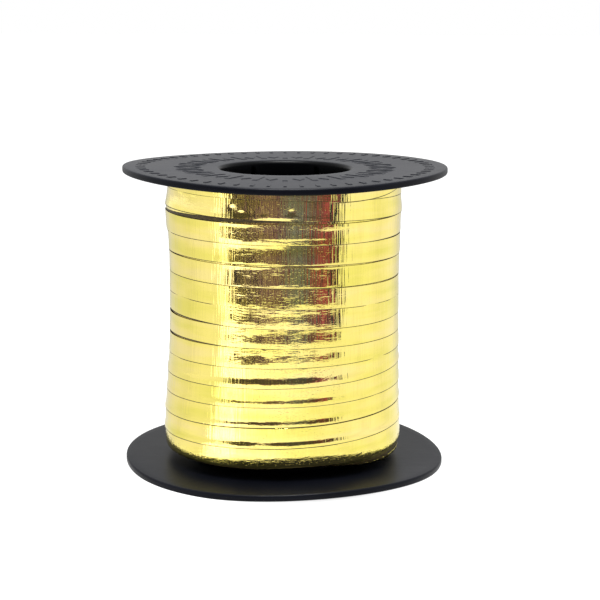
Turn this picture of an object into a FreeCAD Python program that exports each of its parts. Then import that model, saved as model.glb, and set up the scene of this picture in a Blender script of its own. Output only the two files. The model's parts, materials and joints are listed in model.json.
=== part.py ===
"""Spool of metallic curling ribbon.

Two moulded flanges plug into the ends of a core tube, and one long flat ribbon is wound on the tube
between them. Millimetres, +Z along the spool's axis, origin at the centre of the bottom flange's
outer face, which the spool stands on. -Y is the front and the ribbon's free end is at the back.
"""
import FreeCAD, Part
import math
import os

import Sketcher

V = FreeCAD.Vector

DIMENSIONS = [
    # alias, value, what it is
    ("overall_height", 73.6, "outer face to outer face of the two flanges"),
    ("flange_radius", 40.0, "radius of both flanges"),
    ("flange_thickness", 1.6, "thickness of both flanges"),
    ("rim_fillet", 0.35, "rounding of a flange's rim"),
    ("bore_radius", 16.0, "radius of the spindle hole through the collars"),
    ("lip_fillet", 1.2, "rounding where the spindle hole meets the outer face"),
    ("collar_wall", 1.4, "wall of the collar that plugs into the core"),
    ("collar_length", 10.0, "length of the collar beyond the flange"),
    ("collar_lead", 0.5, "chamfer on the collar's free end"),
    ("slit_width", 1.0, "width of the slits that let the collar flex"),
    ("slit_count", 6, "slits around one collar"),
    ("slit_start", 2.4, "distance of a slit's closed end from the outer face"),
    ("core_clearance", 0.05, "radial gap between collar and core"),
    ("core_wall", 2.0, "wall of the core tube"),
    ("pack_top_radius", 28.7, "radius of the buried turns under the top flange"),
    ("pack_bottom_radius", 29.2, "radius of the buried turns at the bottom"),
    ("waist_arc_radius", 830.0, "radius of the shallow hollow along the winding's side"),
    ("pack_underside_rise", 2.9, "how far the winding's underside rises from the core to its side"),
    ("pack_corner", 3.2, "rounding of the winding's lower corner"),
    ("layer_thickness", 0.3, "thickness of the last traverse, with its overlaps"),
    ("layer_lift", 0.6, "how much higher the last traverse ends than the buried turns"),
    ("ribbon_width", 5.0, "width of the ribbon"),
    ("ribbon_thickness", 0.1, "thickness of the ribbon"),
    ("tail_radius", 28.92, "radius that the free end lies at"),
    ("tail_bottom", 61.5, "height of the free end's lower edge"),
    ("tail_gap", 0.05, "air between the free end and the tape on it"),
    ("tail_arc", 46.0, "arc of the free end, in degrees"),
    ("tail_middle", 85.0, "middle of the free end, in degrees from +X"),
    ("tape_thickness", 0.08, "thickness of both pieces of tape"),
    ("tape_width", 12.0, "width of both pieces of tape, along the axis"),
    ("tail_tape_arc", 34.0, "arc of the tape over the free end, in degrees"),
    ("tail_tape_middle", 66.0, "middle of that tape, in degrees from +X"),
    ("start_tape_arc", 40.0, "arc of the tape that holds the ribbon's start, in degrees"),
    ("start_tape_bottom", 8.0, "height of the lower edge of the start tape"),
    ("mark_height", 0.25, "height of the raised marks on the top flange"),
    ("bar_inner", 20.6, "radius at the inner end of the bars in the inner ring of marks"),
    ("bar_outer", 27.4, "radius at the outer end of the bars"),
    ("bar_width", 1.3, "width of a bar"),
    ("lozenge_middle", 24.0, "radius of the lozenges' centres"),
    ("lozenge_length", 5.6, "length of a lozenge, along the radius"),
    ("lozenge_width", 3.0, "width of a lozenge"),
    ("motif_count", 24, "bars, and lozenges, around the inner ring"),
    ("tick_inner", 34.4, "radius at the inner end of the ticks in the outer ring"),
    ("tick_outer", 36.8, "radius at the outer end of the ticks"),
    ("tick_width", 0.8, "width of a tick"),
    ("tick_count", 60, "ticks around the outer ring"),
]

COLLAR_OUTER = "(Dims.bore_radius + Dims.collar_wall)"
COLLAR_END = "(Dims.flange_thickness + Dims.collar_length)"
CORE_INNER = f"({COLLAR_OUTER} + Dims.core_clearance)"
CORE_OUTER = f"({CORE_INNER} + Dims.core_wall)"
WINDING_BOTTOM = "Dims.flange_thickness"
WINDING_TOP = "(Dims.overall_height - Dims.flange_thickness)"
WAIST_DEPTH = f"(({WINDING_TOP} - {WINDING_BOTTOM}) ^ 2 / (8 * Dims.waist_arc_radius))"
WAIST_RADIUS = (f"((Dims.pack_top_radius + Dims.pack_bottom_radius) / 2 + Dims.layer_thickness"
                f" - {WAIST_DEPTH})")


def new_sheet(doc):
    """The driving dimensions, one row each: name, value, note."""
    sheet = doc.addObject("Spreadsheet::Sheet", "Dims")
    for row, (alias, value, note) in enumerate(DIMENSIONS, start=1):
        sheet.set(f"A{row}", alias)
        sheet.set(f"B{row}", str(value))
        sheet.set(f"C{row}", note)
        sheet.setAlias(f"B{row}", alias)
    doc.recompute()
    return sheet


def new_body(doc, label):
    body = doc.addObject("PartDesign::Body", label)
    body.Label = label
    return body


def origin_feature(body, role):
    """A plane or an axis of the body's own origin."""
    return next(feature for feature in body.Origin.OriginFeatures if feature.Role == role)


def arc_between(start, end, centre_x):
    """The shorter arc between two points about a centre this far from the vertical axis.

    It runs anticlockwise, as a sketch's arcs do, so it comes with whether it begins at start.
    """
    bisector = (end.Length**2 - start.Length**2) / 2 - centre_x * (end.x - start.x)
    centre = V(centre_x, bisector / (end.y - start.y), 0)
    angles = [math.atan2(point.y - centre.y, point.x - centre.x) for point in (start, end)]
    sweep = (angles[1] - angles[0]) % (2 * math.pi)
    begins_at_start = sweep < math.pi
    first, last = angles if begins_at_start else reversed(angles)
    circle = Part.Circle(centre, V(0, 0, 1), (start - centre).Length)
    return Part.ArcOfCircle(circle, first, first + (last - first) % (2 * math.pi)), begins_at_start


def hold(sketch, edge, point, place):
    """Tie one vertex of a sketch to the sheet with a horizontal and a vertical distance."""
    for direction, axis, expression in zip("XY", (-2, -1), place):
        value = float(sketch.evalExpression(expression))
        if value == 0:
            sketch.addConstraint(Sketcher.Constraint("PointOnObject", edge, point, axis))
            continue
        ends = (-1, 1, edge, point) if value > 0 else (edge, point, -1, 1)
        index = sketch.addConstraint(Sketcher.Constraint("Distance" + direction, *ends, abs(value)))
        sketch.setExpression(f"Constraints[{index}]", expression if value > 0 else f"-({expression})")


def outline(body, name, role, corners, height=None):
    """Closed sketch on an origin plane, whose corners are pairs of expressions.

    A third item on a corner says that an arc leaves it, and how far the arc's centre lies from the
    vertical axis; every other edge is straight.
    """
    sketch = body.newObject("Sketcher::SketchObject", name)
    sketch.AttachmentSupport = [(origin_feature(body, role), "")]
    sketch.MapMode = "FlatFace"
    if height:
        sketch.setExpression("AttachmentOffset.Base.z", height)
    places = [V(*(float(sketch.evalExpression(part)) for part in corner[:2]), 0) for corner in corners]
    ends = []
    for edge, corner in enumerate(corners):
        start, end = places[edge], places[(edge + 1) % len(places)]
        if len(corner) == 3:
            centre_x = float(sketch.evalExpression(corner[2]))
            arc, begins_at_start = arc_between(start, end, centre_x)
            sketch.addGeometry(arc)
            ends.append((1, 2) if begins_at_start else (2, 1))
            index = sketch.addConstraint(Sketcher.Constraint("DistanceX", -1, 1, edge, 3, centre_x))
            sketch.setExpression(f"Constraints[{index}]", corner[2])
        else:
            sketch.addGeometry(Part.LineSegment(start, end))
            ends.append((1, 2))
    for edge, corner in enumerate(corners):
        previous = (edge - 1) % len(corners)
        sketch.addConstraint(
            Sketcher.Constraint("Coincident", previous, ends[previous][1], edge, ends[edge][0]))
        hold(sketch, edge, ends[edge][0], corner[:2])
    return sketch


def rectangle(low, high):
    """Corners of a rectangle between two pairs of expressions."""
    return [(low[0], low[1]), (high[0], low[1]), (high[0], high[1]), (low[0], high[1])]


def turned(body, name, sketch, angle="360"):
    """Turn a sketch on the XZ plane about Z, half of the angle to each side of +X."""
    feature = body.newObject("PartDesign::Revolution", name)
    feature.Profile = sketch
    feature.ReferenceAxis = (sketch, ["V_Axis"])
    feature.Midplane = True
    feature.setExpression("Angle", angle)
    body.Document.recompute()
    return feature


def rounded(body, name, base, radius, rings):
    """Round the circular edges of base that are listed as (radius, height)."""
    body.Document.recompute()
    names = [f"Edge{number}" for number, edge in enumerate(base.Shape.Edges, start=1)
             if any(is_ring(edge, *ring) for ring in rings)]
    assert len(names) >= len(rings), f"{name} found {len(names)} of {len(rings)} edges"
    feature = body.newObject("PartDesign::Fillet", name)
    feature.Base = (base, names)
    feature.setExpression("Radius", radius)
    return feature


def is_ring(edge, radius, height):
    """True for a circular edge about the axis with this radius and height."""
    circle = edge.Curve
    return (isinstance(circle, Part.Circle) and abs(circle.Radius - radius) < 1e-4
            and abs(circle.Center.z - height) < 1e-4)


def around(body, name, original, count):
    """Repeat a feature around the Z axis."""
    body.Document.recompute()
    pattern = body.newObject("PartDesign::PolarPattern", name)
    pattern.Originals = [original]
    pattern.Axis = (origin_feature(body, "Z_Axis"), [""])
    pattern.Angle = 360
    pattern.setExpression("Occurrences", count)
    body.Tip = pattern
    return pattern


def flange(doc, sheet, label):
    """One moulded flange, outer face down at Z = 0: disc, rounded lip and slit collar."""
    body = new_body(doc, label)
    profile = outline(body, label + "_profile", "XZ_Plane", [
        ("Dims.bore_radius", "0"),
        ("Dims.flange_radius", "0"),
        ("Dims.flange_radius", "Dims.flange_thickness"),
        (COLLAR_OUTER, "Dims.flange_thickness"),
        (COLLAR_OUTER, f"{COLLAR_END} - Dims.collar_lead"),
        (f"{COLLAR_OUTER} - Dims.collar_lead", COLLAR_END),
        ("Dims.bore_radius", COLLAR_END),
    ])
    disc = turned(body, label + "_disc", profile)
    rim = rounded(body, label + "_rim", disc, "Dims.rim_fillet",
                  [(sheet.flange_radius, 0), (sheet.flange_radius, sheet.flange_thickness)])
    rounded(body, label + "_lip", rim, "Dims.lip_fillet", [(sheet.bore_radius, 0)])
    plan = outline(body, label + "_slit_plan", "XY_Plane",
                   rectangle(("Dims.bore_radius - Dims.collar_wall", "-Dims.slit_width / 2"),
                             (f"{COLLAR_OUTER} + Dims.collar_wall", "Dims.slit_width / 2")),
                   height="Dims.slit_start")
    slit = body.newObject("PartDesign::Pocket", label + "_slit")
    slit.Profile = plan
    slit.Reversed = True
    slit.setExpression("Length", "Dims.collar_length")
    around(body, label + "_slits", slit, "Dims.slit_count")
    return body


def bottom_flange(doc, sheet):
    return flange(doc, sheet, "bottom_flange")


def raise_marks(body, name, corners, count):
    """Repeat one raised mark, drawn on the flange's outer face, around the axis."""
    plan = outline(body, name + "_plan", "XY_Plane", corners)
    mark = body.newObject("PartDesign::Pad", name)
    mark.Profile = plan
    mark.Reversed = True
    mark.setExpression("Length", "Dims.mark_height")
    around(body, name + "_ring", mark, count)


def radial_bar(inner, outer, width):
    """Corners of a bar that lies along the radius."""
    return rectangle((inner, f"-{width} / 2"), (outer, f"{width} / 2"))


def lozenge_corners():
    """Corners of a lozenge that lies along the radius midway between two bars."""
    turn = "(180 / Dims.motif_count)"
    half_length, half_width = "(Dims.lozenge_length / 2)", "(Dims.lozenge_width / 2)"
    inner, middle, outer = (f"(Dims.lozenge_middle{step})" for step in
                            (f" - {half_length}", "", f" + {half_length}"))
    return [
        (f"{inner} * cos({turn})", f"{inner} * sin({turn})"),
        (f"{middle} * cos({turn}) + {half_width} * sin({turn})",
         f"{middle} * sin({turn}) - {half_width} * cos({turn})"),
        (f"{outer} * cos({turn})", f"{outer} * sin({turn})"),
        (f"{middle} * cos({turn}) - {half_width} * sin({turn})",
         f"{middle} * sin({turn}) + {half_width} * cos({turn})"),
    ]


def top_flange(doc, sheet):
    """The same moulding turned over, with rings of plain raised marks on its outer face."""
    body = flange(doc, sheet, "top_flange")
    raise_marks(body, "bar", radial_bar("Dims.bar_inner", "Dims.bar_outer", "Dims.bar_width"),
                "Dims.motif_count")
    raise_marks(body, "lozenge", lozenge_corners(), "Dims.motif_count")
    raise_marks(body, "tick", radial_bar("Dims.tick_inner", "Dims.tick_outer", "Dims.tick_width"),
                "Dims.tick_count")
    body.Placement = FreeCAD.Placement(V(0, 0, 0), FreeCAD.Rotation(V(1, 0, 0), 180))
    body.setExpression("Placement.Base.z", "Dims.overall_height")
    return body


def without(doc, label, whole, removed):
    """What is left of one solid when another is taken out of it."""
    rest = doc.addObject("Part::Cut", label)
    rest.Label = label
    rest.Base, rest.Tool = whole, removed
    return rest


def core_tube(doc):
    """Plain tube that both collars plug into; the ribbon is wound on it."""
    cylinders = []
    for name, radius in (("core_outside", CORE_OUTER), ("core_inside", CORE_INNER)):
        cylinder = doc.addObject("Part::Cylinder", name)
        cylinder.setExpression("Radius", radius)
        cylinder.setExpression("Height", f"{WINDING_TOP} - {WINDING_BOTTOM}")
        cylinder.setExpression("Placement.Base.z", WINDING_BOTTOM)
        cylinders.append(cylinder)
    return without(doc, "core_tube", *cylinders)


def winding(doc, sheet, name, extra, lift):
    """Solid winding with a shallow waist, a rounded lower corner and an underside that rises outwards.

    Its side stands out by extra beyond the buried turns, and its underside is higher by lift.
    """
    body = new_body(doc, name)
    bottom = f"({WINDING_BOTTOM} + {lift})"
    corner = (f"(Dims.pack_bottom_radius + {extra})", f"({bottom} + Dims.pack_underside_rise)")
    profile = outline(body, name + "_profile", "XZ_Plane", [
        (CORE_OUTER, bottom),
        (*corner, f"{WAIST_RADIUS} + Dims.waist_arc_radius"),
        (f"(Dims.pack_top_radius + {extra})", WINDING_TOP),
        (CORE_OUTER, WINDING_TOP),
    ])
    turns = turned(body, name + "_turns", profile)
    lower_edge = [float(sheet.evalExpression(value)) for value in corner]
    rounded(body, name + "_corner", turns, "Dims.pack_corner", [lower_edge])
    return body


def band(doc, label, radius, thickness, bottom, width, arc, middle):
    """Thin strip bent about the axis, its middle turned this many degrees from +X towards +Y."""
    body = new_body(doc, label)
    section = outline(body, label + "_section", "XZ_Plane",
                      rectangle((radius, bottom), (f"{radius} + {thickness}", f"{bottom} + {width}")))
    turned(body, label + "_strip", section, arc)
    body.Placement = FreeCAD.Placement(V(0, 0, 0), FreeCAD.Rotation(V(0, 0, 1), 1))
    body.setExpression("Placement.Rotation.Angle", middle)
    return body


def start_tape(doc):
    """Tape that holds the ribbon's first turn on the core."""
    return band(doc, "start_tape", CORE_OUTER, "Dims.tape_thickness", "Dims.start_tape_bottom",
                "Dims.tape_width", "Dims.start_tape_arc", "0")


def ribbon_tail(doc):
    """The ribbon's free end, lying on the last traverse near the top."""
    return band(doc, "ribbon_tail", "Dims.tail_radius", "Dims.ribbon_thickness",
                "Dims.tail_bottom", "Dims.ribbon_width", "Dims.tail_arc", "Dims.tail_middle")


def tail_tape(doc):
    """Clear tape that holds the free end down, centred on it in height."""
    radius = "(Dims.tail_radius + Dims.ribbon_thickness + Dims.tail_gap)"
    bottom = "(Dims.tail_bottom + (Dims.ribbon_width - Dims.tape_width) / 2)"
    return band(doc, "tail_tape", radius, "Dims.tape_thickness", bottom, "Dims.tape_width",
                "Dims.tail_tape_arc", "Dims.tail_tape_middle")


def check(doc, pieces):
    """Stop on any object that failed to rebuild and on any piece that isn't one sound solid."""
    for thing in doc.Objects:
        assert not {"Invalid", "Error"} & set(thing.State), f"{thing.Label} failed: {thing.State}"
    for piece in pieces:
        shape = piece.Shape
        assert not shape.isNull() and shape.isValid(), f"{piece.Label} is not valid"
        assert len(shape.Solids) == 1 and shape.Volume > 0, f"{piece.Label} is not one solid"


def main():
    doc = FreeCAD.newDocument("ribbon_spool")
    sheet = new_sheet(doc)
    first_tape = start_tape(doc)
    buried_turns = winding(doc, sheet, "buried_turns", "0", "0")
    wound_full = winding(doc, sheet, "wound_full", "Dims.layer_thickness", "Dims.layer_lift")
    pieces = [
        bottom_flange(doc, sheet),
        top_flange(doc, sheet),
        core_tube(doc),
        first_tape,
        without(doc, "ribbon_pack", buried_turns, first_tape),
        without(doc, "ribbon_outer_layer", wound_full, buried_turns),
        ribbon_tail(doc),
        tail_tape(doc),
    ]
    doc.recompute()
    check(doc, pieces)
    os.makedirs("parts", exist_ok=True)
    for piece in pieces:
        piece.Shape.exportStep(f"parts/{piece.Label}.step")
        box = piece.Shape.optimalBoundingBox()
        print(f"{piece.Label:20s} {piece.Shape.Volume / 1000:8.3f} cm3"
              f"  x {box.XMin:.2f} {box.XMax:.2f}  y {box.YMin:.2f} {box.YMax:.2f}"
              f"  z {box.ZMin:.2f} {box.ZMax:.2f}")


main()
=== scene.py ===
"""Looks for the spool of curling ribbon: warped black flanges, the ribbon turn by turn, and the stage.

The spool's lengths are in millimetres until add_mesh; shaders, cards, camera and lamp are in metres. Angles
about the axis are in radians from +X, and a place "from the front" is in degrees, positive to the right.
"""

import json
import math

import bmesh
import bpy
import numpy as np
from mathutils import Matrix, Vector
from mathutils.bvhtree import BVHTree

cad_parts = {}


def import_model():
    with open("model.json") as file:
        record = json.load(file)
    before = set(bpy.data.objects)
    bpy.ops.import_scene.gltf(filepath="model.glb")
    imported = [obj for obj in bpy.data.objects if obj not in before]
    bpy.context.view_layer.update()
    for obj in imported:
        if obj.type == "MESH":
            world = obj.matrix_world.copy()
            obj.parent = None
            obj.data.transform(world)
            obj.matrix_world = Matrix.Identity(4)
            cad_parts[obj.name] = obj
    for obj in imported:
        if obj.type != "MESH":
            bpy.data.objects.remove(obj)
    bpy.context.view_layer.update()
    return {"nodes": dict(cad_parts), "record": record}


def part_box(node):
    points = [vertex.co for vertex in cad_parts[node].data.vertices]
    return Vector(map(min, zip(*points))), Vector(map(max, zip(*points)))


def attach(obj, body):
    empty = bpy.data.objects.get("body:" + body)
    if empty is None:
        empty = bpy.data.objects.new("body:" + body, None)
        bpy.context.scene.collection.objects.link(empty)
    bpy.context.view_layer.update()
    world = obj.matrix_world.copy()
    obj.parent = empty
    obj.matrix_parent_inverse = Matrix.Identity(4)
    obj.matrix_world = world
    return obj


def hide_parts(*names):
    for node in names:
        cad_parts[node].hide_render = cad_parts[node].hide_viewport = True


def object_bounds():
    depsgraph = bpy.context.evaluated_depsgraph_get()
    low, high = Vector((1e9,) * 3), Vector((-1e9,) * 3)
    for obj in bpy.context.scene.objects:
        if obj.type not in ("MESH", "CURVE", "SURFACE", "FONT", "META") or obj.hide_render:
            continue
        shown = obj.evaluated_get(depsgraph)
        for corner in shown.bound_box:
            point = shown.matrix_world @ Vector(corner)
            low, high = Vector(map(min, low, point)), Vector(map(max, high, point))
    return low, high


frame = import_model()

MM = 0.001
TURN = 2 * math.pi
FRONT = -math.pi / 2            # the camera's side, as an angle from +X

# Spool sizes, in millimetres, read from the frame
FLANGE_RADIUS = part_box("bottom_flange")[1].x / MM
FLANGE_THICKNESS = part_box("core_tube")[0].z / MM
WINDING_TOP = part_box("core_tube")[1].z / MM
OUTER_FACE = WINDING_TOP + FLANGE_THICKNESS
MARK_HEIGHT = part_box("top_flange")[1].z / MM - OUTER_FACE
BORE_RADIUS = next(mount["dims"]["r_mm"] for mount in frame["record"]["mounts"]
                   if mount["name"] == "spindle_bore")


# ---------------------------------------------------------------- small helpers

def smooth(value):
    """0 below 0, 1 above 1, and an even S between."""
    value = np.clip(value, 0.0, 1.0)
    return value * value * (3 - 2 * value)


def wave_noise(x, y, seed, waves=9):
    """Gentle two-way noise, about -1 to 1, with features about 1 unit across in x and y."""
    rng = np.random.default_rng(seed)
    total = np.zeros(np.broadcast(x, y).shape)
    for _ in range(waves):
        kx, ky = rng.uniform(1.6, 5.2, 2) * rng.choice([-1, 1], 2)
        total += np.sin(kx * x + ky * y + rng.uniform(0, TURN))
    return total / math.sqrt(waves)


def add_mesh(name, vertices_mm, faces, smooth_faces=True):
    """New object from vertices in millimetres."""
    mesh = bpy.data.meshes.new(name)
    mesh.from_pydata([tuple(float(c) * MM for c in v) for v in vertices_mm], [], faces)
    mesh.validate()
    mesh.polygons.foreach_set("use_smooth", [smooth_faces] * len(mesh.polygons))
    piece = bpy.data.objects.new(name, mesh)
    bpy.context.scene.collection.objects.link(piece)
    return piece


def outward(piece):
    """Make every face of a closed piece point outwards."""
    work = bmesh.new()
    work.from_mesh(piece.data)
    bmesh.ops.recalc_face_normals(work, faces=work.faces)
    work.to_mesh(piece.data)
    work.free()


def finish_piece(piece, slot, material, *nodes):
    """Every piece rides on the spool, takes a material, and stands for its CAD nodes, which it hides; slot is
    not used.
    """
    if material.name not in [m.name for m in piece.data.materials if m]:
        piece.data.materials.append(material)
    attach(piece, "root")
    if nodes:
        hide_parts(*nodes)


# ---------------------------------------------------------------- shader helpers

class Shader:
    """A Principled material with short ways to add nodes."""

    def __init__(self, name, **sockets):
        self.material = bpy.data.materials.new(name)
        self.material.use_nodes = True
        self.tree = self.material.node_tree
        self.surface = self.tree.nodes["Principled BSDF"]
        for socket, value in sockets.items():
            self.surface.inputs[socket.replace("_", " ")].default_value = value

    def node(self, kind, inputs=None, **settings):
        made = self.tree.nodes.new("ShaderNode" + kind)
        for setting, value in settings.items():
            setattr(made, setting, value)
        for socket, value in (inputs or {}).items():
            self.feed(made.inputs[socket], value)
        return made

    def feed(self, socket, value):
        """Link an output to a socket, or set its value."""
        if isinstance(value, bpy.types.NodeSocket):
            self.tree.links.new(value, socket)
        else:
            socket.default_value = value

    def here(self):
        """The point in the object's own coordinates, in metres."""
        return self.node("TexCoord").outputs["Object"]

    def noise(self, vector, scale, detail=2.0, roughness=0.5):
        return self.node("TexNoise", {"Vector": vector, "Scale": scale, "Detail": detail,
                                      "Roughness": roughness}).outputs["Fac"]

    def line_noise(self, along, scale, detail, roughness=0.5):
        """Noise that depends on one number only."""
        return self.node("TexNoise", {"W": along, "Scale": scale, "Detail": detail, "Roughness": roughness},
                         noise_dimensions="1D").outputs["Fac"]

    def stretched(self, vector, scale):
        return self.node("Mapping", {"Vector": vector, "Scale": scale}).outputs["Vector"]

    def film_noise(self, along, scale, detail=2.0, roughness=0.5):
        """Noise on the ribbon, with a scale along it and one across it, per millimetre."""
        return self.noise(self.stretched(along, (*scale, 1.0)), 1.0, detail, roughness)

    def ramp(self, factor, stops):
        """A colour ramp with stops of a place and a colour, or of a place and a grey."""
        made = self.node("ValToRGB", {"Fac": factor})
        elements = made.color_ramp.elements
        while len(elements) < len(stops):
            elements.new(0.5)
        for element, (place, colour) in zip(elements, stops):
            element.position = place
            element.color = (colour,) * 3 + (1.0,) if isinstance(colour, float) else (*colour, 1.0)
        return made.outputs["Color"]

    def mix(self, factor, first, second, blend="MIX"):
        made = self.node("Mix", data_type="RGBA", blend_type=blend)
        self.feed(made.inputs["Factor"], factor)
        self.feed(made.inputs["A"], (*first, 1.0) if isinstance(first, tuple) else first)
        self.feed(made.inputs["B"], (*second, 1.0) if isinstance(second, tuple) else second)
        return made.outputs["Result"]

    def spread(self, value, low, high):
        """Map 0..1 to low..high."""
        return self.node("MapRange", {"Value": value, "To Min": low, "To Max": high}).outputs["Result"]

    def share(self, value, start, stop, low=0.0):
        """Map start..stop to low..1."""
        return self.node("MapRange", {"Value": value, "From Min": start, "From Max": stop,
                                      "To Min": low}).outputs["Result"]

    def bump(self, height, distance_mm, strength=1.0, under=None):
        """A normal from a height, on top of the normal under it; strength may be a mask."""
        made = self.node("Bump", {"Height": height, "Distance": distance_mm * MM, "Strength": strength})
        if under is not None:
            self.feed(made.inputs["Normal"], under)
        return made.outputs["Normal"]

    def use(self, **sockets):
        for socket, value in sockets.items():
            self.feed(self.surface.inputs[socket.replace("_", " ")], value)
        return self.material


# ---------------------------------------------------------------- materials

CRUMPLE_HEIGHTS = (0.0086, 0.0072)   # the film is crumpled below these heights, in metres


def gold_film():
    """Metallised gold film with fine crimps across the ribbon; UV is in millimetres along and across."""
    shader = Shader("gold_film", Metallic=1.0, Roughness=0.13)
    along = shader.node("UVMap", uv_map="ribbon").outputs["UV"]
    crimps = shader.film_noise(along, (1.05, 0.05), 2.0, 0.6)
    ridges = shader.film_noise(along, (2.4, 0.08), 1.0)
    creases = shader.film_noise(along, (0.42, 1.75))
    calm = shader.ramp(shader.film_noise(along, (0.09, 0.30)), [(0.36, 0.35), (0.62, 1.0)])
    specks = shader.ramp(shader.film_noise(along, (1.9, 3.6), 1.0), [(0.62, 0.0), (0.72, 1.0)])
    height = shader.node("SeparateXYZ", {"Vector": shader.here()}).outputs["Z"]
    at_corner = shader.share(height, *CRUMPLE_HEIGHTS)
    crumple = shader.film_noise(along, (0.85, 2.1), 3.0, 0.6)
    normal = shader.bump(crimps, 0.075)
    normal = shader.bump(ridges, 0.045, under=normal)
    normal = shader.bump(creases, 0.028, calm, under=normal)
    normal = shader.bump(specks, 0.007, calm, under=normal)
    normal = shader.bump(crumple, 0.038, at_corner, under=normal)
    tone = shader.film_noise(along, (0.035, 0.22), 3.0)
    colour = shader.ramp(tone, [(0.34, (0.87, 0.765, 0.15)), (0.50, (0.97, 0.82, 0.215)),
                                (0.66, (0.99, 0.82, 0.285))])
    wear = shader.spread(shader.film_noise(along, (0.5, 1.2), 4.0), 0.035, 0.09)
    return shader.use(Base_Color=colour, Roughness=wear, Normal=normal)


def ribbon_edge_painted_shade():
    """Painted shade along the ribbon's lower edge and on its slit edge faces: dark brown standing in for the
    shadow in the crevice under each turn.
    """
    shader = Shader("ribbon_edge_painted_shade", Metallic=0.4)
    along = shader.node("UVMap", uv_map="ribbon").outputs["UV"]
    tone = shader.film_noise(along, (0.8, 4.0), 3.0)
    colour = shader.ramp(tone, [(0.35, (0.030, 0.022, 0.006)), (0.7, (0.13, 0.09, 0.02))])
    return shader.use(Base_Color=colour, Roughness=shader.spread(tone, 0.5, 0.65))


BORE_SHADE = (0.3, 0.9)         # painted shade: the plastic's colour darkens inside the bore, up to this far past its radius
BORE_SHADE_KEEP = 0.15                # how much of its colour the painted shade leaves there


def moulded_plastic(name, colour_low, colour_high, rough_low, rough_high, specular):
    """Satin black moulding with faint flow marks, fine grain and handling scuffs, and painted shade darkening
    its colour in the bore.
    """
    shader = Shader(name, IOR=1.49, Specular_IOR_Level=specular)
    place = shader.here()
    flow = shader.noise(place, 45.0, 4.0, 0.55)
    grain = shader.noise(place, 3800.0, 2.0)
    scuffs = shader.noise(shader.stretched(place, (220.0, 900.0, 220.0)), 1.0, 5.0, 0.7)
    colour = shader.ramp(flow, [(0.3, colour_low), (0.7, colour_high)])
    flat = shader.node("VectorMath", {0: place, 1: (1.0, 1.0, 0.0)}, operation="MULTIPLY").outputs["Vector"]
    from_axis = shader.node("VectorMath", {0: flat}, operation="LENGTH").outputs["Value"]
    # painted shade: the colour is darkened in and near the bore
    shade = shader.share(from_axis, *((BORE_RADIUS + past) * MM for past in BORE_SHADE), low=BORE_SHADE_KEEP)
    colour = shader.mix(1.0, colour, shade, "MULTIPLY")
    rough = shader.spread(shader.mix(0.45, flow, scuffs), rough_low, rough_high)
    normal = shader.bump(grain, 0.012)
    normal = shader.bump(flow, 0.10, under=normal)
    return shader.use(Base_Color=colour, Roughness=rough, Normal=normal)


def clear_tape():
    """Clear adhesive tape, slightly milky, with small bubbles."""
    shader = Shader("clear_tape_film", IOR=1.5, Alpha=0.13)
    bubbles = shader.noise(shader.here(), 900.0, 4.0, 0.6)
    colour = shader.ramp(bubbles, [(0.35, (0.80, 0.78, 0.70)), (0.7, (0.97, 0.96, 0.92))])
    rough = shader.spread(bubbles, 0.06, 0.28)
    return shader.use(Base_Color=colour, Roughness=rough, Normal=shader.bump(bubbles, 0.01))


# ---------------------------------------------------------------- flanges

COLLAR_WALL = 1.4
COLLAR_LENGTH = 10.0
COLLAR_ROOT = 0.3               # corner between the disc and the collar
COLLAR_LEAD = 0.5               # bevel outside the collar's free end
COLLAR_MOUTH = 0.15             # bevel inside it
LIP_FILLET = 1.0
RIM_FILLET = 0.45
SLIT_WIDTH = 1.0
SLIT_START = 2.4                # height of the slits' closed end
SLITS = 6
DISC_RINGS = 14
FLANGE_SEGMENTS = 240
STIFF_RADIUS = 19.0             # the collar keeps the disc flat inside this radius
WARP_POWER = 1.6                # how late the warp sets in towards the rim

# How each thin disc warps at its rim: (lobes, millimetres, angle of one high point)
TOP_WARP = [(0, 0.26, 0.0), (2, 0.46, math.radians(7)), (3, 0.18, math.radians(83))]
BOTTOM_WARP = [(1, 0.15, math.radians(115)), (2, 0.39, math.radians(101)),
               (3, 0.385, math.radians(55.5))]


def warp(radius, angle, lobes):
    """Height that a warped disc adds at a place, in millimetres."""
    reach = np.clip((radius - STIFF_RADIUS) / (FLANGE_RADIUS - STIFF_RADIUS), 0, None) ** WARP_POWER
    return reach * sum(size * np.cos(count * (angle - high)) for count, size, high in lobes)


def quarter(centre, radius, start, steps=5):
    """Points of a quarter circle in the radius-height plane, from start degrees, anticlockwise."""
    angles = np.radians(start + np.linspace(0, 90, steps))
    return [(centre[0] + radius * math.cos(a), centre[1] + radius * math.sin(a)) for a in angles]


def flange_profile():
    """Closed section of a flange, outer face down at height 0, as (radius, height, is_on_the_slits)."""
    collar_outer = BORE_RADIUS + COLLAR_WALL
    collar_end = FLANGE_THICKNESS + COLLAR_LENGTH
    disc_radii = np.linspace(collar_outer + COLLAR_ROOT, FLANGE_RADIUS - RIM_FILLET, DISC_RINGS)
    lip_centre = (BORE_RADIUS + LIP_FILLET, LIP_FILLET)
    solid = quarter(lip_centre, LIP_FILLET, 180, 8)
    solid += [(radius, 0.0) for radius in disc_radii[1:-1]]
    solid += quarter((FLANGE_RADIUS - RIM_FILLET, RIM_FILLET), RIM_FILLET, 270)
    solid += quarter((FLANGE_RADIUS - RIM_FILLET, FLANGE_THICKNESS - RIM_FILLET), RIM_FILLET, 0)
    solid += [(radius, FLANGE_THICKNESS) for radius in disc_radii[-2::-1]]
    solid += [(collar_outer, FLANGE_THICKNESS + COLLAR_ROOT)]
    fingers = [(collar_outer, SLIT_START), (collar_outer, collar_end - COLLAR_LEAD),
               (collar_outer - COLLAR_LEAD, collar_end), (BORE_RADIUS + COLLAR_MOUTH, collar_end),
               (BORE_RADIUS, collar_end - COLLAR_MOUTH), (BORE_RADIUS, SLIT_START)]
    return [(*point, False) for point in solid] + [(*point, True) for point in fingers]


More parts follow.
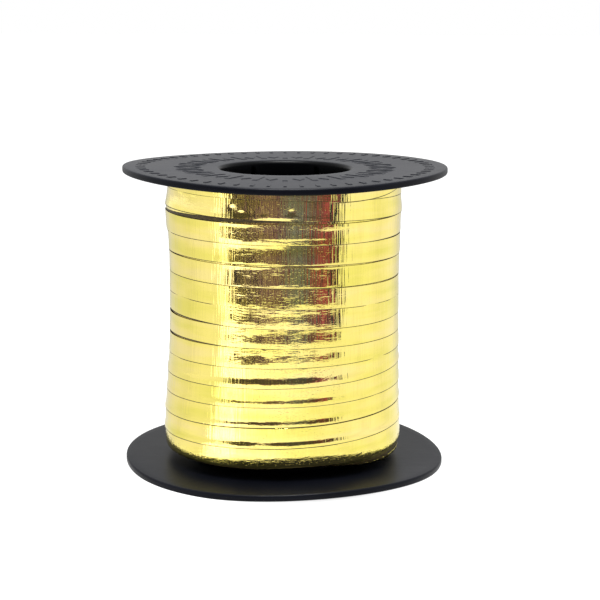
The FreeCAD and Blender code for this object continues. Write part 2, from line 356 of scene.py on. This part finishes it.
def slit_angles():
    """Angles of the section's copies around the axis, and which gaps between them are slits."""
    half = SLIT_WIDTH / 2 / (BORE_RADIUS + COLLAR_WALL / 2)
    angles = []
    for slit in range(SLITS):
        middle = slit * TURN / SLITS
        span = TURN / SLITS - 2 * half
        count = FLANGE_SEGMENTS // SLITS - 1
        angles += [(middle - half, True), (middle, True)]
        angles += [(middle + half + span * step / count, False) for step in range(count)]
    return angles


def flange(name, lobes, turned_over):
    """A whole moulding as one closed mesh: disc, lip, collar and the collar's slits."""
    profile = flange_profile()
    angles = slit_angles()
    vertices = []
    for angle, _ in angles:
        for radius, height, _ in profile:
            face = OUTER_FACE - height if turned_over else height
            vertices.append((radius * math.cos(angle), radius * math.sin(angle),
                             face + warp(radius, angle, lobes)))
    size = len(profile)
    first_finger = next(i for i, point in enumerate(profile) if point[2])
    faces = []
    for column, (_, in_slit) in enumerate(angles):
        here, there = column * size, (column + 1) % len(angles) * size
        for row in range(size):
            after = (row + 1) % size
            if in_slit and first_finger <= row < size - 1:
                continue
            faces.append((here + row, here + after, there + after, there + row))
        if in_slit:
            faces.append((here + first_finger, here + size - 1, there + size - 1, there + first_finger))
        if in_slit != angles[column - 1][1]:
            faces.append(tuple(here + row for row in range(first_finger, size)))
    piece = add_mesh(name, vertices, faces)
    outward(piece)
    return piece


MOTIFS = 24                     # bars around the hole, and as many lozenges between them
BAR = (20.6, 27.4, 1.3)         # inner radius, outer radius, width
LOZENGE = (24.0, 2.8, 1.5)      # middle radius, half length, half width
TICKS = 60
TICK = (34.4, 36.8, 0.8)        # inner radius, outer radius, width
MARK_BASE = -0.3                # the marks start this far under the face


def raised_mark(corners, height, lobes):
    """A raised mark from corners given as (radius, angle): sunk base, sides and a smaller top."""
    corners = [np.array([radius * math.cos(angle), radius * math.sin(angle)]) for radius, angle in corners]
    middle = np.mean(corners, axis=0)
    rings = []
    for rise, shrink in ((MARK_BASE, 1.05), (height * 0.2, 1.0), (height * 0.6, 0.78)):
        ring = []
        for corner in corners:
            flat = middle + (corner - middle) * shrink
            lift = warp(math.hypot(*flat), math.atan2(flat[1], flat[0]), lobes)
            ring.append((flat[0], flat[1], OUTER_FACE + rise + lift))
        rings.append(ring)
    size = len(corners)
    faces = [tuple(reversed(range(size))), tuple(range(2 * size, 3 * size))]
    for low, high in ((0, size), (size, 2 * size)):
        for corner in range(size):
            after = (corner + 1) % size
            faces.append((low + corner, low + after, high + after, high + corner))
    return [point for ring in rings for point in ring], faces


def top_marks():
    """Two rings of plain marks in place of lettering: bars and lozenges inside, ticks outside."""
    vertices, faces = [], []

    def add(corners):
        points, sides = raised_mark(corners, MARK_HEIGHT, TOP_WARP)
        base = len(vertices)
        vertices.extend(points)
        faces.extend(tuple(base + index for index in side) for side in sides)

    def bar(inner, outer, width, angle):
        half_in, half_out = width / 2 / inner, width / 2 / outer
        add([(inner, angle - half_in), (outer, angle - half_out),
             (outer, angle + half_out), (inner, angle + half_in)])

    middle, half_length, half_width = LOZENGE
    half_angle = half_width / middle
    for motif in range(MOTIFS):
        angle = motif * TURN / MOTIFS
        bar(*BAR, angle)
        between = angle + TURN / MOTIFS / 2
        add([(middle - half_length, between), (middle, between - half_angle),
             (middle + half_length, between), (middle, between + half_angle)])
    for tick in range(TICKS):
        bar(*TICK, tick * TURN / TICKS)
    piece = add_mesh("top_flange_marks", vertices, faces, smooth_faces=False)
    outward(piece)
    return piece


# ---------------------------------------------------------------- ribbon

RIBBON_WIDTH = 5.0
RIBBON_THICKNESS = 0.10
STEPS_PER_TURN = 320
TOP_CLEARANCE = 0.04            # the upper edge stays this far under the top flange
SIDE_ANGLE = math.radians(84)    # how far round the front the sides' heights are given

# Each visible turn from the bottom up: height of its lower edge at the left, at the front and at the
# right, how far that edge stands off the turn below, and the width over which it settles back
TURNS = [
    (3.6, 4.9, 6.4, 0.10, 1.3), (8.5, 9.9, 11.4, 0.145, 1.2), (13.5, 15.0, 16.6, 0.105, 1.2),
    (18.5, 19.8, 21.0, 0.075, 1.2), (23.2, 24.4, 26.0, 0.155, 1.6), (28.1, 29.2, 29.9, 0.075, 2.6),
    (33.5, 33.9, 34.0, 0.065, 2.8), (39.0, 38.5, 38.3, 0.05, 2.6), (43.6, 43.3, 42.8, 0.04, 2.0),
    (48.6, 48.3, 48.1, 0.06, 2.0), (53.8, 53.7, 53.1, 0.06, 2.0), (58.6, 58.4, 58.4, 0.06, 2.0),
    (64.9, 64.2, 63.3, 0.08, 2.0), (69.3, 69.0, 67.7, 0.09, 1.6),
]
SETTLE_START = 0.6              # how far above the turn below a turn starts to settle back

# Soft steps in the winding's side: height, how far the side moves out above it, over what width,
# and between which two angles from the front
STEPS_IN_SIDE = [
    (58.45, 0.105, 1.9, -100, 0), (53.45, 0.095, 1.9, -100, -5), (53.4, 0.085, 1.7, 15, 100),
    (64.75, 0.10, 1.0, -15, 5), (62.2, 0.085, 1.5, 15, 100), (63.1, 0.085, 1.4, -100, -14),
    (59.9, 0.05, 0.7, -12, 28), (66.2, 0.04, 0.8, -40, -12), (49.3, -0.11, 9.5, -34, 36),
    (56.2, -0.06, 3.0, -20, 30), (67.5, -0.16, 6.0, -24, 40), (61.3, -0.07, 2.4, -14, 14),
    (36.5, -0.10, 15.0, -18, 28), (43.9, -0.02, 1.4, -22, 2), (69.3, -0.05, 1.5, -90, 90),
]
STEP_FADE = 14.0                # degrees over which a step in the side fades out

# Small dimples: angle from the front, height, depth, and half sizes in degrees and millimetres
DIMPLES = [
    (-25.0, 66.9, 0.15, 2.2, 0.8), (-21.0, 66.0, 0.14, 2.0, 0.6), (-18.0, 67.0, 0.07, 1.1, 1.0),
    (3.0, 66.3, 0.14, 1.5, 0.7), (-10.0, 66.8, 0.09, 1.3, 1.1), (-17.0, 50.4, 0.03, 2.5, 0.6),
    (-4.0, 62.0, 0.03, 2.0, 0.5),
]


def side_of_winding():
    """Radius of the CAD winding's side as a smooth function of the height, fitted above its corner."""
    node = frame["nodes"]["ribbon_outer_layer"]
    tree = BVHTree.FromObject(node, bpy.context.evaluated_depsgraph_get())
    low, high = (corner.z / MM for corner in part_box("ribbon_outer_layer"))
    heights = np.linspace(low + 0.3, high - 0.1, 60)
    radii = []
    for height in heights:
        hit = tree.ray_cast(Vector((0.1, 0.0, height * MM)), Vector((-1, 0, 0)))[0]
        radii.append(hit.x / MM)
    corner_samples, degree = 8, 4
    return np.polynomial.Polynomial.fit(heights[corner_samples:], radii[corner_samples:], degree)


SIDE = side_of_winding()
SIDE_ALLOWANCE = -0.12          # the last turns lie a little inside the CAD side

# Broad shapes of the side: how far each swell stands out, its middle height and its half height
UPPER_SWELL = (0.56, 62.6, 4.4)     # at the left
LOWER_SWELL = (0.75, 12.0, 12.0)    # at the left
LEFT_SWELL = 0.24                   # at the left, at every height
TOP_NARROWING = (0.35, 64.5, 5.0, 34, 44)   # depth, height and its run, place and its run

# The side's corner at the bottom: a soft arc, a straight facet, a tight arc, and then the underside
CORNER_HEIGHT = 6.7             # where the side starts to round under, away from the front
CORNER_RISE = (1.95, 12.0, 36.0)    # how much higher it starts at the front: rise, middle, half width
CORNER_SWAY = 0.12              # its slow rise and fall round the spool
CORNER_WOBBLE = 0.13            # its small unevenness
SOFT_CORNER = (9.0, 0.125)      # radius, and the angle through which it rounds
FACET = 1.9                     # straight run between the soft and the tight arc
FACET_LOSS = 0.8                # how much of the facet is gone at the left
TIGHT_CORNER = 1.2
UNDERSIDE_SLOPE = math.radians(15)


def from_front(angle):
    """Degrees from the front, -180 to 180, positive to the right."""
    return np.degrees((angle - FRONT + math.pi) % TURN - math.pi)


def relief(height, angle):
    """How far the winding's side stands out from a plain surface of revolution."""
    place = from_front(angle)
    left_side = smooth((np.cos(angle - math.pi) - 0.1) / 0.8)
    swell, middle, half_height = UPPER_SWELL
    total = swell * np.exp(-((height - middle) / half_height) ** 2) * left_side
    loss, lowest, rise, least_place, fade = TOP_NARROWING
    total -= loss * smooth((height - lowest) / rise) * smooth((np.abs(place) - least_place) / fade)
    swell, middle, half_height = LOWER_SWELL
    total += (swell * np.exp(-((height - middle) / half_height) ** 2) * left_side
              + LEFT_SWELL * left_side)
    total += (0.035 * wave_noise(angle * 2.2, height / 14.0, 3)
              + 0.006 * wave_noise(angle * 9.0, height / 2.6, 5))
    for level, rise, width, start, stop in STEPS_IN_SIDE:
        reach = smooth((place - start) / STEP_FADE + 0.5) * smooth((stop - place) / STEP_FADE + 0.5)
        total += rise * reach * smooth((height - level) / width + 0.5)
    for middle, level, depth, half_angle, half_height in DIMPLES:
        total -= depth * np.exp(-((place - middle) / half_angle) ** 2 - ((height - level) / half_height) ** 2)
    return total


def side_point(down, angle, offset):
    """Place on the winding's side, offset outwards; down is the height measured along the surface.

    Below the corner the surface rounds under, so the surface height goes on along a soft arc, a
    straight facet, a tight arc, and then along the underside towards the core.
    """
    place = from_front(angle)
    rise, middle, half_width = CORNER_RISE
    corner = CORNER_HEIGHT + rise * np.exp(-((place - middle) / half_width) ** 2)
    corner = corner + CORNER_SWAY * np.sin(3 * angle)
    corner = corner + CORNER_WOBBLE * wave_noise(angle * 26.0, 0.0, 11)
    straight = np.maximum(down, corner)
    radius = SIDE(straight) + SIDE_ALLOWANCE + relief(straight, angle)
    past = np.maximum(corner - down, 0.0)
    soft_radius, soft_angle = SOFT_CORNER
    steep = math.pi / 2 - UNDERSIDE_SLOPE
    soft = np.minimum(past / soft_radius, soft_angle)
    past = past - soft * soft_radius
    facet_loss = FACET_LOSS * smooth((-5 - place) / 50) * smooth((place + 170) / 50)
    facet = np.minimum(past, FACET * (1 - facet_loss))
    past = past - facet
    bend = soft + np.minimum(past / TIGHT_CORNER, steep - soft_angle)
    run = past - (bend - soft) * TIGHT_CORNER
    inward = (soft_radius * (1 - np.cos(soft)) + facet * np.sin(soft)
              + TIGHT_CORNER * (np.cos(soft) - np.cos(bend)) + run * math.cos(UNDERSIDE_SLOPE))
    fall = (soft_radius * np.sin(soft) + facet * np.cos(soft)
            + TIGHT_CORNER * (np.sin(bend) - np.sin(soft)) + run * math.sin(UNDERSIDE_SLOPE))
    return radius - inward + offset * np.cos(bend), straight - fall - offset * np.sin(bend)


def turn_values(turns, column=None):
    """A smooth function of the turn: the lower edge, or with a column, the values of that column."""
    side = SIDE_ANGLE / TURN
    places, values = [], []
    for index, turn in enumerate(turns):
        places += [index - side, index, index + side]
        values += list(turn[:3]) if column is None else [turn[column]] * 3
    places, values = np.array(places), np.array(values)
    slopes = np.gradient(values, places)

    def value(turn):
        turn = np.clip(turn, places[0], places[-1])
        span = np.clip(np.searchsorted(places, turn, side="right") - 1, 0, len(places) - 2)
        width = places[span + 1] - places[span]
        t = (turn - places[span]) / width
        return ((2 * t**3 - 3 * t**2 + 1) * values[span] + (t**3 - 2 * t**2 + t) * width * slopes[span]
                + (3 * t**2 - 2 * t**3) * values[span + 1] + (t**3 - t**2) * width * slopes[span + 1])

    return value


edge_height, edge_lift, settle_width = turn_values(TURNS), turn_values(TURNS, 3), turn_values(TURNS, 4)

# the rolled slit edge, up to EDGE from the lower edge, takes the dark edge material: painted shade for the
# crevice under each turn
EDGE = 0.13                     # how wide the rolled slit edge is
EDGE_ROLL = 0.006               # how far it rolls in
EDGE_DROP = 0.02                # how far the upper edge's last row drops in
CROWN = 0.012                   # how far the ribbon's edges lie inside its middle
LOOSE_SHARE = 0.2               # how much of a loose edge's width it also rolls in
UNDER_WINDING_TURNS = 0.55      # before this, in turns, there is no turn below to lie on
END_RUN = 8.0                   # length over which a slanted end's cut fades
CUT_RADIUS = 29.0               # about the winding's radius, between such lengths and angles
FILM_RADIUS = 28.6              # the same for the film's pattern along the ribbon
FILM_SHIFT = 37.0               # how far apart on the film's pattern two strips start
ACROSS = np.concatenate([[0.0, EDGE * 0.5, EDGE], np.linspace(EDGE, RIBBON_WIDTH - EDGE, 19)[1:-1],
                         [RIBBON_WIDTH - EDGE, RIBBON_WIDTH - EDGE * 0.5, RIBBON_WIDTH]])
COARSE = np.array([0.0, EDGE, 1.25, 2.5, 3.75, RIBBON_WIDTH - EDGE, RIBBON_WIDTH])


def strip(name, height, lift, settle, span, seed, depth, cut=0.0, loose=None, rows_at=ACROSS):
    """One long flat ribbon laid turn over turn, each lower edge lying on the turn below.

    height, lift, settle and depth are functions of the turn: its lower edge, how far that edge
    stands off the turn below, the width over which it settles, and how far out it lies. span is
    where it starts and stops, in turns, and seed picks its unevenness. cut is how far the start is
    cut on the slant, loose, a function of the turn too, is how much wider the rolled lower edge is,
    and rows_at are the places of the rows across it.
    """
    turn = np.arange(span[0], span[1], 1 / STEPS_PER_TURN)
    lower = height(turn)
    width = np.minimum(RIBBON_WIDTH, WINDING_TOP - TOP_CLEARANCE - lower)
    below = height(turn - 1) + RIBBON_WIDTH     # upper edge of the turn underneath
    uneven = 1 + 0.30 * wave_noise(turn * 22.0, lower / 6.0, seed + 20)
    step = lift(turn) * np.clip(uneven, 0.3, 1.7)
    gap = 0.0 if loose is None else loose(turn)
    past_start = (turn - span[0]) * TURN * CUT_RADIUS
    columns = []
    for across in rows_at:
        place = lower + across * width / RIBBON_WIDTH + gap * across / EDGE * (across < EDGE * 1.1)
        settled = smooth((place - below - SETTLE_START) / settle(turn))
        over = np.where(turn < UNDER_WINDING_TURNS, 0.0, 1 - settled)
        share = 2 * across / RIBBON_WIDTH - 1
        bow = -CROWN * share**2 * (1 + 0.5 * wave_noise(turn * 5.0, across / 9.0, seed))
        rows_rolled = (across < EDGE * 0.9) + 1.0 * (across < EDGE * 0.4)
        rolled = (-EDGE_ROLL - LOOSE_SHARE * gap) * rows_rolled
        rolled = rolled - EDGE_DROP * (across > RIBBON_WIDTH - EDGE * 0.4)
        offset = depth(turn) + over * step + bow + rolled
        slant = cut / CUT_RADIUS * (1 - across / RIBBON_WIDTH) * (1 - smooth(past_start / END_RUN))
        angle = FRONT + turn * TURN + slant
        for thickness in (0.0, RIBBON_THICKNESS):
            radius, level = side_point(place, angle, offset - thickness)
            columns.append(np.stack([radius * np.cos(angle), radius * np.sin(angle), level], axis=1))
    vertices = np.stack(columns, axis=1).reshape(-1, 3)
    size, count, rows = len(columns), len(turn), len(rows_at)
    faces, edge_faces = [], []
    loop = [2 * row for row in range(rows)] + [2 * row + 1 for row in reversed(range(rows))]
    for column in range(count - 1):
        here, there = column * size, (column + 1) * size
        for index, corner in enumerate(loop):
            after = loop[(index + 1) % len(loop)]
            faces.append((here + corner, there + corner, there + after, here + after))
            # the band along the lower edge, both slit edge faces and the end caps take the second material,
            # painted shade
            low_edge = index < 2 or index == len(loop) - 1
            edge_faces.append(1 if low_edge or index == rows - 1 else 0)
    faces += [tuple(loop), tuple((count - 1) * size + corner for corner in reversed(loop))]
    edge_faces += [1, 1]
    piece = add_mesh(name, vertices, faces)
    piece.data.polygons.foreach_set("material_index", edge_faces)
    uv = piece.data.uv_layers.new(name="ribbon")
    loops = np.zeros(len(piece.data.loops), np.int32)
    piece.data.loops.foreach_get("vertex_index", loops)
    along = turn[loops // size] * TURN * FILM_RADIUS + seed * FILM_SHIFT
    uv.data.foreach_set("uv", np.stack([along, rows_at[(loops % size) // 2]], axis=1).ravel())
    piece.data.materials.append(gold)
    piece.data.materials.append(painted_edge_shade)
    outward(piece)
    return piece


BURIED_DEPTH = -0.32            # how far under the last traverse the buried turns lie
TUCK_TURNS = 0.05               # part of a turn over which the last traverse's ends sink to them


def always(value):
    """A value that is the same at every turn."""
    return lambda turn: value + 0.0 * turn


def tucked(start, stop):
    """Depth of the last traverse, which sinks to the buried turns near both ends, so that neither shows."""
    return lambda turn: BURIED_DEPTH * (1 - smooth((turn - start) / TUCK_TURNS)
                                        * smooth((stop - turn) / TUCK_TURNS))


def loose_at_sides(turn):
    """The lower edge rolls more, and its band of painted shade is wider, at the sides, and most at the left
    of the turns half way up.
    """
    place = from_front(FRONT + turn * TURN)
    left = smooth((-20 - place) / 30) * smooth((place + 170) / 40)
    half_way = np.abs(edge_height(turn) - 36.3) < 4.5
    return 0.06 * smooth((np.abs(place) - 25) / 35) + 0.17 * left * half_way


def buried_edge(turn):
    """Lower edge of the turns under the last traverse, at an even pitch."""
    first, pitch = 2.9, 4.7
    return first + pitch * turn


REVERSAL = (13.03, 13.252)      # where the turn that rises into the top flange lies, in turns


def reversal_edge(turn):
    """Lower edge of the turn that rises into the top flange at the right."""
    first, rise = 68.2, 2.2
    past = np.clip((from_front(FRONT + turn * TURN) - 28.0) / 50.0, 0, None)
    return first + rise * past ** 2


def reversal_depth(turn):
    """It comes out from under the last traverse at its start."""
    return -0.24 + 0.50 * smooth((turn - REVERSAL[0]) / 0.07)


TAIL_TURN = 11                  # the turn that the free end belongs to
TAIL = (0.424, 0.62)            # the free end and the end that lies in with the last traverse, in turns


def tail_depth(turn):
    """The tail lies on the last traverse and levels with it at its far end."""
    return 0.15 - 0.30 * smooth((turn - TAIL_TURN - 0.53) / 0.08)


TAPE_MIDDLE = math.radians(66)
TAPE_HALF_LENGTH = 8.6
TAPE_RADIUS = 29.3              # turns its length into an angle
TAPE_GRID = (61, 33)            # columns along it and rows across it
TAPE_THICKNESS = 0.05
TAPE_OFFSET = 0.25              # how far out it lies
TAPE_ON_TAIL = 0.16             # how much further out where it lies on the tail
TAPE_STEP = 0.5                 # width over which it comes down beside the tail
TAIL_STARTS = (61.0, 3.0)       # degrees where the tail starts, and over how many the tape climbs it
TOOTH = 0.4                     # how deep the cutter's teeth are, at one for each 4 rows


def tape_over_tail(name):
    """Clear tape over the free end: a thin bent sheet with toothed ends that follows the tail's step."""
    low, high = (corner.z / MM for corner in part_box("tail_tape"))
    half = TAPE_HALF_LENGTH / TAPE_RADIUS
    columns, rows = TAPE_GRID
    vertices = []
    for row in range(rows):
        place = low + (high - low) * row / (rows - 1)
        teeth = TOOTH * (2 * abs((row / 4) % 1 - 0.5) - 0.5)
        for column in range(columns):
            share = 2 * column / (columns - 1) - 1
            angle = TAPE_MIDDLE + share * (half + teeth / TAPE_RADIUS * abs(share) ** 8)
            edge = float(edge_height((angle - FRONT) / TURN + TAIL_TURN))
            on_tail = float(smooth((place - edge + TAPE_STEP) / TAPE_STEP)
                            * smooth((edge + RIBBON_WIDTH + TAPE_STEP - place) / TAPE_STEP)
                            * smooth((math.degrees(angle) - TAIL_STARTS[0]) / TAIL_STARTS[1]))
            offset = TAPE_OFFSET + TAPE_ON_TAIL * on_tail
            for thickness in (0.0, TAPE_THICKNESS):
                radius, rise = side_point(np.array(place), np.array(angle), offset - thickness)
                vertices.append((radius * math.cos(angle), radius * math.sin(angle), rise))
    faces = []
    for row in range(rows - 1):
        for column in range(columns - 1):
            here = 2 * (row * columns + column)
            up = here + 2 * columns
            faces.append((here, here + 2, up + 2, up))
            faces.append((here + 1, up + 1, up + 3, here + 3))
    rim = [(0, column) for column in range(columns)] + [(row, columns - 1) for row in range(1, rows)]
    rim += [(rows - 1, column) for column in reversed(range(columns - 1))]
    rim += [(row, 0) for row in reversed(range(1, rows - 1))]
    corners = [2 * (row * columns + column) for row, column in rim]
    for index, corner in enumerate(corners):
        after = corners[(index + 1) % len(corners)]
        faces.append((corner, corner + 1, after + 1, after))
    piece = add_mesh(name, vertices, faces)
    outward(piece)
    return piece


# ---------------------------------------------------------------- stage

def camera():
    """The camera, in front of the spool and a little above it, looking down."""
    data = bpy.data.cameras.new("camera")
    data.lens = 101.5
    data.sensor_width = 36.0
    data.clip_start = 0.01
    obj = bpy.data.objects.new("camera", data)
    yaw, pitch, roll = 0.0092, 0.1904, 0.0047
    level_part = math.cos(pitch)
    forward = Vector((math.sin(yaw) * level_part, math.cos(yaw) * level_part, -math.sin(pitch)))
    right = Vector((math.cos(yaw), -math.sin(yaw), 0))
    up = right.cross(forward)
    right, up = (right * math.cos(roll) + up * math.sin(roll),
                 up * math.cos(roll) - right * math.sin(roll))
    matrix = Matrix((right, up, -forward)).transposed().to_4x4()
    matrix.translation = Vector((0.0, -0.4161, 0.1205))
    obj.matrix_world = matrix
    bpy.context.scene.collection.objects.link(obj)
    bpy.context.scene.camera = obj


def reflection_card(name, material, start, stop, edges, lights=False):
    """An arc of card about the spool that the camera doesn't see, between two angles from the front.

    edges are its two edges, each a distance from the axis and a height. Only reflections see it,
    or with lights, diffuse surfaces too.
    """
    steps = 48
    vertices, faces = [], []
    for step in range(steps + 1):
        angle = FRONT + math.radians(start + (stop - start) * step / steps)
        for distance, level in edges:
            vertices.append((distance * math.cos(angle) / MM, distance * math.sin(angle) / MM, level / MM))
    for step in range(steps):
        faces.append((2 * step, 2 * step + 1, 2 * step + 3, 2 * step + 2))
    card = add_mesh(name, vertices, faces)
    card.data.materials.append(material)
    card.visible_camera = False
    card.visible_diffuse = lights
    card.visible_shadow = False
    card.visible_transmission = False


def bare_shader(name):
    """A Shader without its surface, for what only glows."""
    shader = Shader(name)
    shader.tree.nodes.clear()
    return shader


def turned_from_front(shader):
    """A point's angle about the spool, 0 at -180 degrees from the front and 1 at +180."""
    split = shader.node("SeparateXYZ", {"Vector": shader.here()})
    towards = shader.node("Math", {0: split.outputs["Y"], 1: -1.0}, operation="MULTIPLY")
    turned = shader.node("Math", {0: split.outputs["X"], 1: towards.outputs[0]}, operation="ARCTAN2")
    return shader.share(turned.outputs[0], -math.pi, math.pi)


def degrees_ramp(shader, turned, stops):
    """A ramp with stops placed in degrees from the front."""
    low, high = stops[0][0], stops[-1][0]
    share = shader.share(turned, low / 360 + 0.5, high / 360 + 0.5)
    return shader.ramp(share, [((place - low) / (high - low), colour) for place, colour in stops])


def glowing(shader, colour):
    """The material that glows in a colour."""
    glow = shader.node("Emission", {"Color": colour, "Strength": 1.0})
    out = shader.node("OutputMaterial")
    shader.tree.links.new(glow.outputs["Emission"], out.inputs["Surface"])
    return shader.material


def upright_stripes(shader, turned, scale, low, high):
    """0 to 1 stripes that depend only on the angle."""
    return shader.ramp(shader.line_noise(turned, scale, 3.0, 0.7), [(low, 0.0), (high, 1.0)])


DIM_GREY = (0.055, 0.052, 0.055)    # what the dim room's bands fade into
WARM_SLIT = (0.95, 0.80, 0.55)      # narrow bright gaps in the dim room
COOL_STREAK = (3.2, 3.0, 3.6)       # bright streaks on the table


def dark_room(name, grey):
    """What the ribbon mirrors in front: a dim room in upright bands of brown, slate and a little red.

    grey is how far the bands fade into plain dark grey.
    """
    shader = bare_shader(name)
    turned = turned_from_front(shader)
    bands = degrees_ramp(shader, turned, [
        (-56, (0.05, 0.045, 0.06)), (-42, (0.035, 0.030, 0.06)), (-30, (0.05, 0.037, 0.08)),
        (-19, (0.105, 0.062, 0.18)), (1, (0.11, 0.060, 0.18)), (4, (0.13, 0.15, 0.30)),
        (18, (0.12, 0.14, 0.29)), (20, (0.105, 0.06, 0.15)), (31, (0.12, 0.057, 0.13)),
        (33, (0.29, 0.066, 0.16)), (43, (0.24, 0.058, 0.14)), (45, (0.022, 0.038, 0.09)),
        (56, (0.025, 0.035, 0.08))])
    stripes = shader.ramp(shader.line_noise(turned, 180.0, 3.0), [(0.35, 0.25), (0.65, 2.0)])
    mixed = shader.mix(1.0, bands, stripes, "MULTIPLY")
    slits = upright_stripes(shader, turned, 75.0, 0.57, 0.59)
    on_the_left = degrees_ramp(shader, turned, [(-60, 1.0), (-26, 0.85), (-14, 0.45), (4, 0.20), (60, 0.0)])
    slits = shader.mix(1.0, slits, on_the_left, "MULTIPLY")
    return glowing(shader, shader.mix(grey, shader.mix(slits, mixed, WARM_SLIT), DIM_GREY))


def table_light(name):
    """The white table as the ribbon mirrors it: dimmer behind, with bright streaks at the front left."""
    shader = bare_shader(name)
    turned = turned_from_front(shader)
    glow = degrees_ramp(shader, turned, [
        (-180, 0.22), (-172, 0.28), (-163, 0.68), (-120, 0.91), (-80, 0.98), (-56, 1.02), (56, 1.09),
        (110, 1.06), (140, 0.92), (163, 0.72), (172, 0.28), (180, 0.22)])
    broad = shader.ramp(shader.line_noise(turned, 16.0, 2.0), [(0.35, 0.90), (0.6, 1.04)])
    glow = shader.mix(1.0, glow, broad, "MULTIPLY")
    streaks = upright_stripes(shader, turned, 150.0, 0.38, 0.58)
    where = degrees_ramp(shader, turned, [(-62, 0.0), (-56, 1.0), (-40, 1.0), (-33, 0.42), (-18, 0.28),
                                          (2, 0.20), (34, 0.0)])
    streaks = shader.mix(1.0, streaks, where, "MULTIPLY")
    return glowing(shader, shader.mix(streaks, glow, COOL_STREAK))


FLOOR_DARK, FLOOR_LIT = 0.034, 0.0385   # the glow rises from none to full between these radii, in metres; the unlit middle is painted shadow under the spool
FLOOR_HALF = 3000               # half of the floor's side, in millimetres
FLOOR_GAP = 0.0003              # metres under the lowest point


def pale_floor():
    """Large pale floor that glows, except right under the bottom flange, where the glow is left out as
    painted shadow.
    """
    shader = Shader("pale_floor_paint", Base_Color=(0.14, 0.14, 0.14, 1.0), Roughness=0.9,
                    Emission_Color=(1, 1, 1, 1))
    from_axis = shader.node("VectorMath", {0: shader.here()}, operation="LENGTH").outputs["Value"]
    # painted shadow: no glow under the bottom flange
    material = shader.use(Emission_Strength=shader.share(from_axis, FLOOR_DARK, FLOOR_LIT))
    corners = [(FLOOR_HALF * x, FLOOR_HALF * y, 0) for x, y in ((-1, -1), (1, -1), (1, 1), (-1, 1))]
    floor = add_mesh("floor", corners, [(0, 1, 2, 3)])
    floor.data.materials.append(material)
    floor.location.z = min(0.0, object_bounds()[0].z) - FLOOR_GAP


def overhead_light():
    """A soft lamp above and a little in front of the spool."""
    data = bpy.data.lights.new("overhead_soft_light", "AREA")
    data.size = 0.25
    data.energy = 12.0
    lamp = bpy.data.objects.new("overhead_soft_light", data)
    lamp.location = (0.0, -0.12, 0.70)
    lamp.rotation_euler = (-0.19, 0.0, 0.0)
    bpy.context.scene.collection.objects.link(lamp)


def world():
    """Even white surroundings."""
    bpy.context.scene.world = bpy.data.worlds.new("studio")
    bpy.context.scene.world.use_nodes = True
    back = bpy.context.scene.world.node_tree.nodes["Background"]
    back.inputs["Color"].default_value = (1.0, 1.0, 1.0, 1.0)
    back.inputs["Strength"].default_value = 1.0
    bpy.context.scene.view_settings.view_transform = "Standard"


# Distances and heights in metres, and degrees from the front
TABLE_START = 0.045             # the white table starts past the flange
TABLE_EDGE = 0.266              # it ends here in front of the spool
TABLE_HEIGHT = -0.0001
ROOM = 1.6                      # the room's wall
WALL_HEIGHTS = (-0.9, 0.8)
OPENING = 52                    # half width of the studio's dark opening

camera()
world()
overhead_light()
pale_floor()
reflection_card("room_card", dark_room("dim_wall", 0.75), -OPENING, OPENING,
                [(ROOM, height) for height in WALL_HEIGHTS], lights=True)
reflection_card("apron_card", dark_room("dim_room", 0.0), -OPENING, OPENING,
                [(TABLE_EDGE, 0.0), (ROOM, 0.0)], lights=True)
table = table_light("table_light")
reflection_card("table_front_card", table, -OPENING, OPENING,
                [(TABLE_START, TABLE_HEIGHT), (TABLE_EDGE, TABLE_HEIGHT)])
reflection_card("table_around_card", table, OPENING, 360 - OPENING,
                [(TABLE_START, TABLE_HEIGHT), (ROOM, TABLE_HEIGHT)])

gold = gold_film()
# painted shade for the crevices under the turns' lower edges
painted_edge_shade = ribbon_edge_painted_shade()
black = moulded_plastic("moulded_black", (0.0022, 0.0026, 0.0046), (0.0044, 0.0050, 0.0080),
                        0.31, 0.45, 0.08)
tube_black = moulded_plastic("tube_black", (0.003, 0.003, 0.0035), (0.006, 0.006, 0.007), 0.45, 0.6, 0.1)
tape = clear_tape()

finish_piece(flange("bottom_flange_moulding", BOTTOM_WARP, False), "spool_plastic", black, "bottom_flange")
finish_piece(flange("top_flange_moulding", TOP_WARP, True), "spool_plastic", black, "top_flange")
finish_piece(top_marks(), "spool_plastic", black)

last_turns = (-0.45, len(TURNS) - 0.4)
buried_turns = (-1.45, 14.3)
tail_turns = (TAIL_TURN + TAIL[0], TAIL_TURN + TAIL[1])
finish_piece(strip("ribbon_last_traverse", edge_height, edge_lift, settle_width, last_turns, 1,
                   tucked(*last_turns), loose=loose_at_sides), "ribbon_film", gold, "ribbon_outer_layer")
finish_piece(strip("ribbon_buried_turns", buried_edge, always(0.12), always(1.3), buried_turns, 2,
                   always(BURIED_DEPTH), rows_at=COARSE), "ribbon_film", gold, "ribbon_pack")
finish_piece(strip("ribbon_free_end", edge_height, always(0.0), always(1.0), tail_turns, 3,
                   tail_depth, cut=3.5), "ribbon_film", gold, "ribbon_tail")
finish_piece(strip("ribbon_at_reversal", reversal_edge, always(0.0), always(1.0), REVERSAL, 4,
                   reversal_depth, loose=always(0.12)), "ribbon_film", gold)
finish_piece(tape_over_tail("tape_over_tail"), "clear_tape", tape, "tail_tape")

for node, material in (("core_tube", tube_black), ("start_tape", tape)):
    frame["nodes"][node].data.materials.clear()
    frame["nodes"][node].data.materials.append(material)
